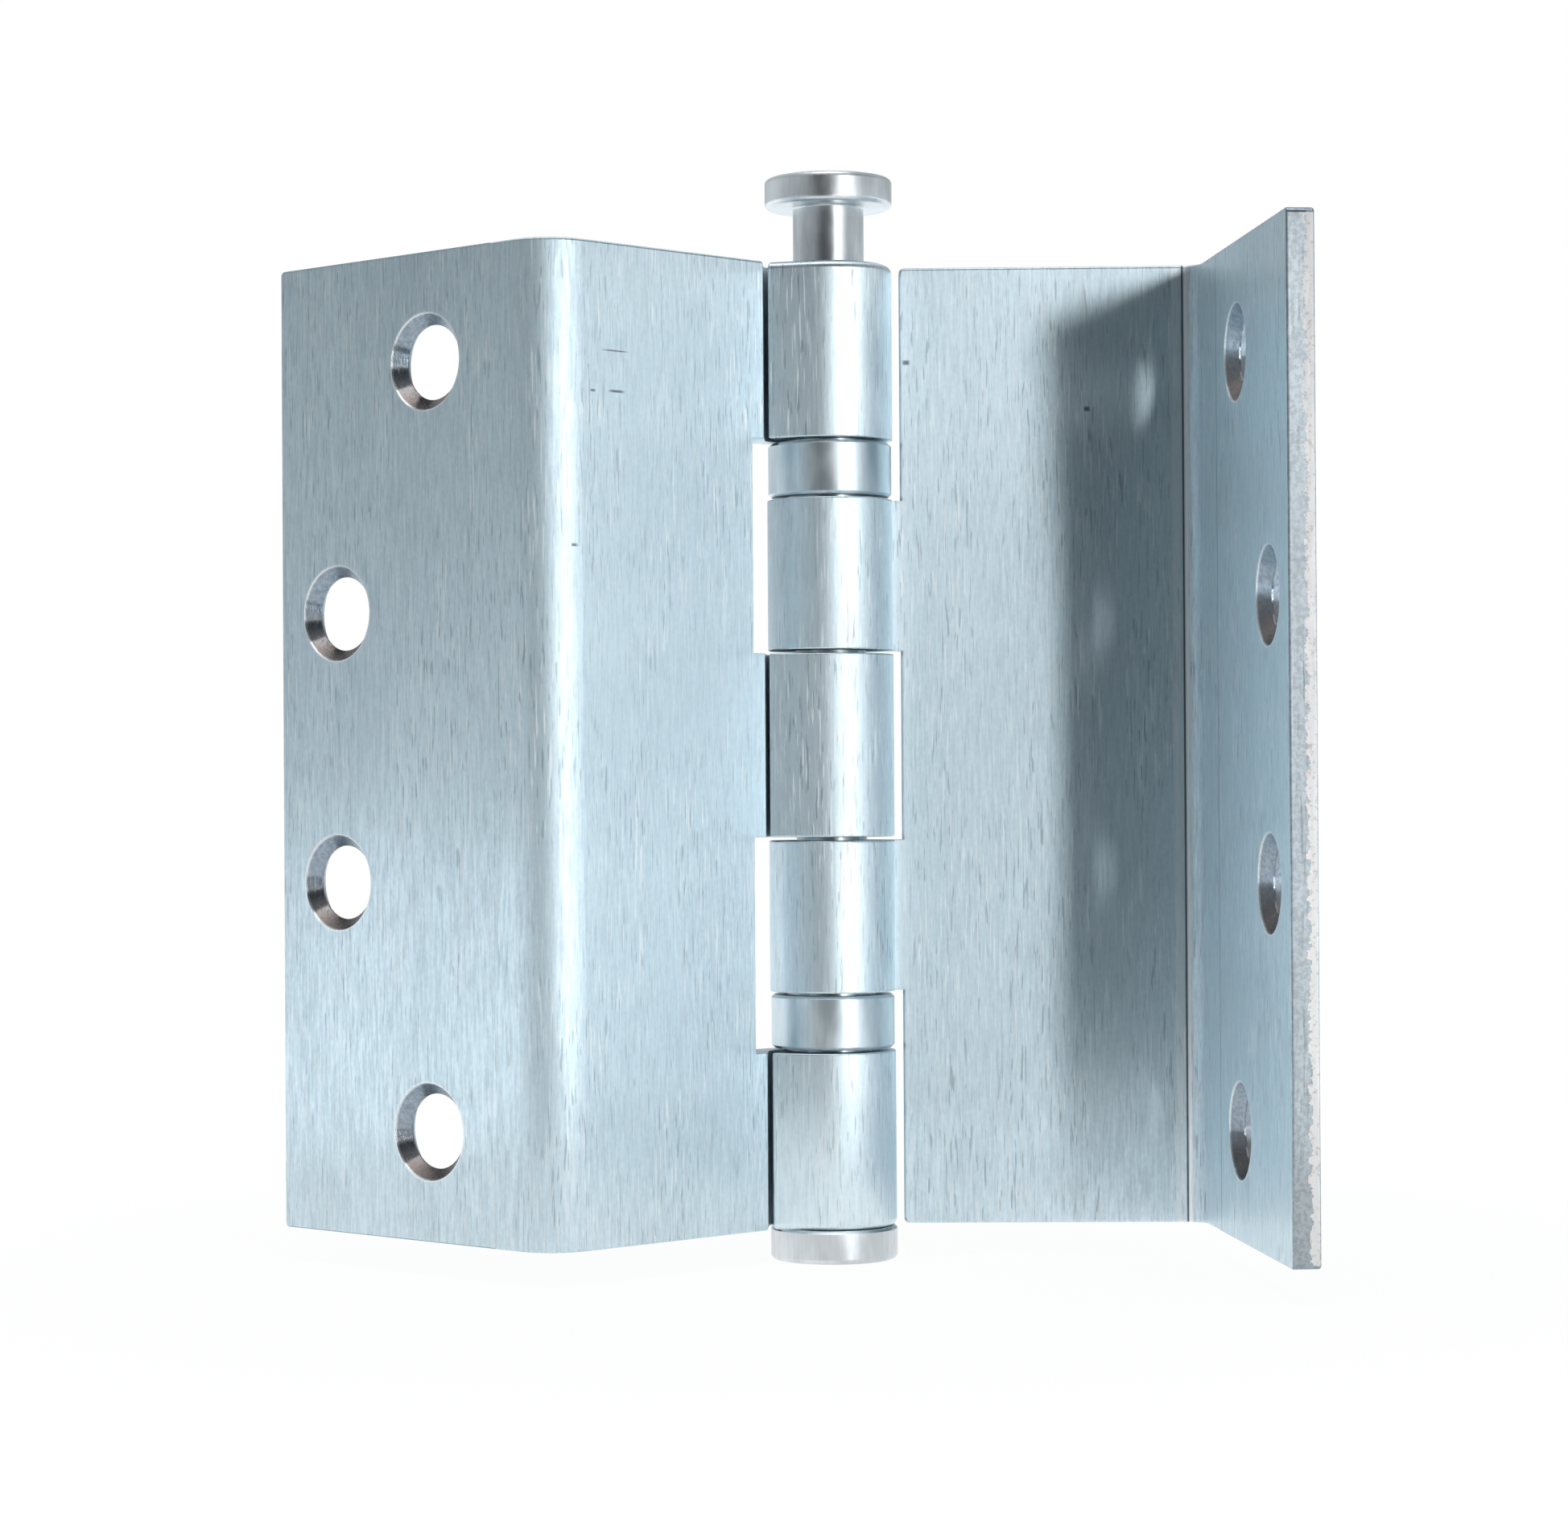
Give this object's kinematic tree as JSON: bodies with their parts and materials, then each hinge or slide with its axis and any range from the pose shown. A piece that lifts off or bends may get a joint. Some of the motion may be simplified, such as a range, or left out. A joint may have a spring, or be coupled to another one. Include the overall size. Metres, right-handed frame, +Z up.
{
  "type": "swing clear hinge",
  "caption": "Full mortise swing clear door hinge with two bent leaves, ball bearings between its knuckles and a lift-out pin.",
  "frame": {"origin": "middle of the frame leaf's mounting face, at half the height of the leaves", "axes": "+Z up the pin, +Y out of the mounting face into the door frame, +X from the flange's free edge to its bend"},
  "size_m": [0.1184, 0.0731, 0.1288],
  "materials": {
    "leaf_steel": "satin, brushed up the height",
    "pin_steel": "turned and polished",
    "shell_steel": "drawn and polished",
    "race_steel": "hardened and ground",
    "ball_steel": "mirror polished",
    "cage_brass": "stamped"
  },
  "bodies": {
    "frame": {"frame_leaf": "leaf_steel", "bottom_plug": "pin_steel", "upper_bearing_shell": "shell_steel", "upper_bearing_top_race": "race_steel", "lower_bearing_shell": "shell_steel", "lower_bearing_bottom_race": "race_steel"},
    "door": {"door_leaf": "leaf_steel", "upper_bearing_bottom_race": "race_steel", "lower_bearing_top_race": "race_steel"},
    "pin": {"hinge_pin": "pin_steel"},
    "upper_ball_ring": {"upper_ball_cage": "cage_brass", "upper_ball_01": "ball_steel", "upper_ball_02": "ball_steel", "upper_ball_03": "ball_steel", "upper_ball_04": "ball_steel", "upper_ball_05": "ball_steel", "upper_ball_06": "ball_steel", "upper_ball_07": "ball_steel", "upper_ball_08": "ball_steel"},
    "lower_ball_ring": {"lower_ball_cage": "cage_brass", "lower_ball_01": "ball_steel", "lower_ball_02": "ball_steel", "lower_ball_03": "ball_steel", "lower_ball_04": "ball_steel", "lower_ball_05": "ball_steel", "lower_ball_06": "ball_steel", "lower_ball_07": "ball_steel", "lower_ball_08": "ball_steel"}
  },
  "joints": [
    {"name": "door_swing", "type": "hinge", "parent": "frame", "child": "door", "pos_m": [0.02822, 0.03889, 0], "axis": [0, 0, 1], "range_deg": [-136.4, 133.6]},
    {"name": "pin_lift", "type": "slide", "parent": "frame", "child": "pin", "axis": [0, 0, 1], "range_m": [-0.007, 0.105]},
    {"name": "upper_ring_turn", "type": "hinge", "parent": "frame", "child": "upper_ball_ring", "pos_m": [0.02822, 0.03889, 0.03277], "axis": [0, 0, 1], "range_deg": [-69.2, 69.2]},
    {"name": "lower_ring_turn", "type": "hinge", "parent": "frame", "child": "lower_ball_ring", "pos_m": [0.02822, 0.03889, -0.03277], "axis": [0, 0, 1], "range_deg": [-69.2, 69.2]}
  ],
  "couplings": [
    {"joint": "upper_ring_turn", "follows": "door_swing", "ratio": 0.5},
    {"joint": "lower_ring_turn", "follows": "door_swing", "ratio": 0.5}
  ]
}
